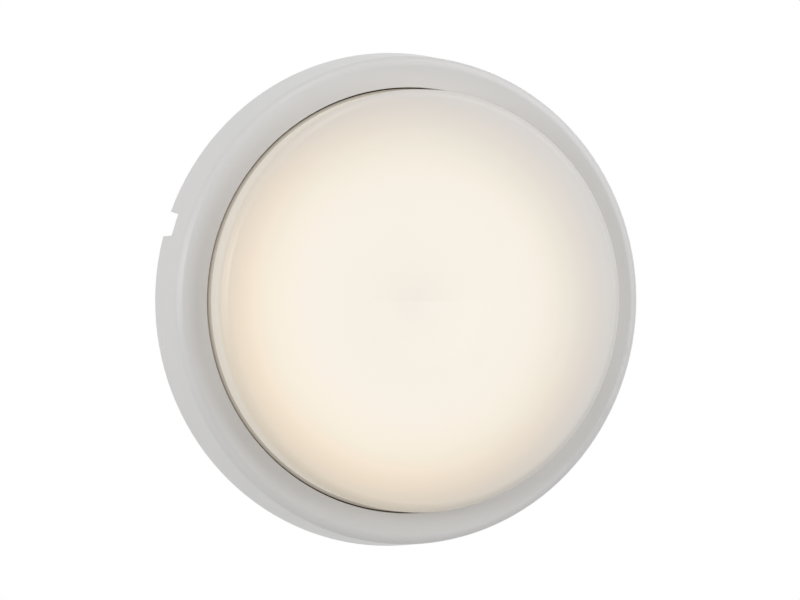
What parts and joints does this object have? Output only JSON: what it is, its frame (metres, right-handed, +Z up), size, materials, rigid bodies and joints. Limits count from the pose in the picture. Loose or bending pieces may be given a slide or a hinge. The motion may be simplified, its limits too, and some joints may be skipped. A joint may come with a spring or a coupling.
{
  "type": "round wall light",
  "caption": "Round surface-mounted wall light: domed opal twist-lock diffuser in a flared clip-on trim ring, over a sealed housing with driver, light board and terminals.",
  "frame": {"origin": "the axis of the round body where it meets the wall, on the housing's back face", "axes": "+Y into the wall, -Y out of the wall through the diffuser, +X to the right seen from the front, +Z up"},
  "size_m": [0.2198, 0.0423, 0.2198],
  "materials": {
    "ring_plastic": "satin, light grey moulded plastic",
    "opal_plastic": "satin opal plastic, lit from behind",
    "housing_plastic": "black moulded plastic, fine grain",
    "seal_rubber": "black silicone",
    "gasket_foam": "closed-cell foam, black",
    "grommet_rubber": "black soft rubber",
    "spring_steel": "spring steel strip",
    "white_metal": "white coated steel",
    "board_white": "white solder mask on aluminium",
    "chip_phosphor": "yellow phosphor in a white body",
    "connector_white": "ivory nylon",
    "zinc_steel": "bright zinc plated",
    "driver_plastic": "white moulded plastic",
    "board_green": "green solder mask",
    "ferrite": "dark sintered ferrite",
    "winding_tape": "yellow insulating tape",
    "capacitor_sleeve": "black shrink sleeve",
    "film_yellow": "yellow cast box",
    "chip_black": "black epoxy",
    "terminal_green": "green polyamide",
    "terminal_plastic": "light grey polyamide",
    "contact_copper": "tinned copper strip",
    "button_brown": "brown",
    "button_blue": "blue",
    "button_green": "green",
    "clamp_plastic": "dark grey polyamide",
    "tag_metal": "tinned brass",
    "insulation_brown": "brown insulation",
    "insulation_blue": "blue insulation",
    "insulation_green_yellow": "green and yellow insulation",
    "insulation_red": "red insulation",
    "insulation_black": "black insulation"
  },
  "bodies": {
    "housing": {"ring_clips": "spring_steel", "base_housing": "housing_plastic", "wall_gasket": "gasket_foam", "rear_grommet": "grommet_rubber", "gear_tray": "white_metal", "tray_screws": "zinc_steel", "led_board": "board_white", "led_chips": "chip_phosphor", "board_screws": "zinc_steel", "led_connector": "connector_white", "lead_bushing": "grommet_rubber", "driver_case": "driver_plastic", "driver_lid": "driver_plastic", "driver_screws": "zinc_steel", "driver_board": "board_green", "driver_transformer": "ferrite", "driver_winding": "winding_tape", "driver_capacitors": "capacitor_sleeve", "driver_film_capacitor": "film_yellow", "driver_choke": "ferrite", "driver_rectifier": "chip_black", "driver_terminals": "terminal_green", "terminal_block": "terminal_plastic", "terminal_contacts": "contact_copper", "terminal_screws": "zinc_steel", "cable_clamp": "clamp_plastic", "clamp_screws": "zinc_steel", "earth_tag": "tag_metal", "earth_screw": "zinc_steel", "earth_nut": "zinc_steel", "wire_live": "insulation_brown", "wire_neutral": "insulation_blue", "wire_earth": "insulation_green_yellow", "lead_plus": "insulation_red", "lead_minus": "insulation_black"},
    "trim_ring": {"trim_ring": "ring_plastic"},
    "diffuser_seal": {"diffuser_seal": "seal_rubber"},
    "diffuser": {"diffuser": "opal_plastic"},
    "release_button_live": {"release_button_live": "button_brown"},
    "release_button_neutral": {"release_button_neutral": "button_blue"},
    "release_button_earth": {"release_button_earth": "button_green"}
  },
  "joints": [
    {"name": "ring_pull", "type": "slide", "parent": "housing", "child": "trim_ring", "axis": [0, -1, 0], "range_m": [0, 0.03]},
    {"name": "diffuser_lift", "type": "slide", "parent": "housing", "child": "diffuser_seal", "axis": [0, -1, 0], "range_m": [0, 0.004]},
    {"name": "diffuser_twist", "type": "hinge", "parent": "diffuser_seal", "child": "diffuser", "pos_m": [0, 0, 0], "axis": [0, -1, 0], "range_deg": [0, 24]},
    {"name": "live_release", "type": "slide", "parent": "housing", "child": "release_button_live", "axis": [0, 1, 0], "range_m": [0, 0.0012], "stiffness_N_per_m": 2500},
    {"name": "neutral_release", "type": "slide", "parent": "housing", "child": "release_button_neutral", "axis": [0, 1, 0], "range_m": [0, 0.0012], "stiffness_N_per_m": 2500},
    {"name": "earth_release", "type": "slide", "parent": "housing", "child": "release_button_earth", "axis": [0, 1, 0], "range_m": [0, 0.0012], "stiffness_N_per_m": 2500}
  ],
  "couplings": [
    {"joint": "diffuser_lift", "follows": "diffuser_twist", "m_per_rad": 0.009549}
  ]
}
